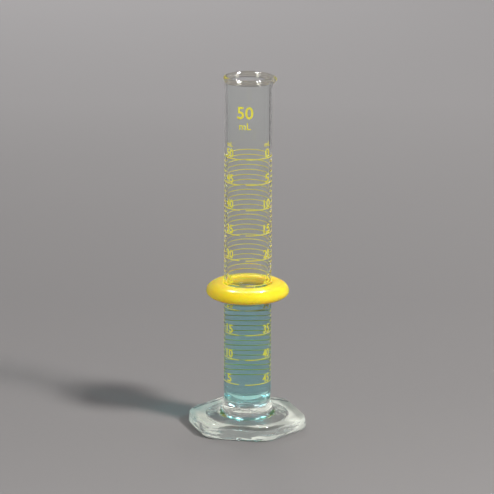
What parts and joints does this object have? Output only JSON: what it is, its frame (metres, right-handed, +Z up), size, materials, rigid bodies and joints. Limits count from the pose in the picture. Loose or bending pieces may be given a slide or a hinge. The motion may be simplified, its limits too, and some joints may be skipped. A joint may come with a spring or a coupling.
{
  "type": "graduated cylinder",
  "caption": "Glass measuring cylinder with pouring spout, enamel double scale, hexagonal foot, sliding bumper ring and coloured water inside.",
  "frame": {"origin": "centre of the foot's underside, on the tube's axis, on the surface that the part stands on", "axes": "+Z up along the tube's axis; the reading side of the scale faces -Y; the pouring spout points along +X"},
  "size_m": [0.0614, 0.06, 0.1879],
  "materials": {
    "tube_glass": "gloss",
    "foot_glass": "gloss",
    "guard_plastic": "gloss",
    "scale_enamel": "satin",
    "water": "gloss"
  },
  "bodies": {
    "cylinder": {"glass_tube": "tube_glass", "hex_foot": "foot_glass", "major_lines": "scale_enamel", "minor_lines": "scale_enamel", "coloured_water": "water"},
    "guard": {"bumper_guard": "guard_plastic"}
  },
  "joints": [
    {"name": "guard_slide", "type": "slide", "parent": "cylinder", "child": "guard", "axis": [0, 0, 1], "range_m": [-0.052, 0.101]}
  ]
}
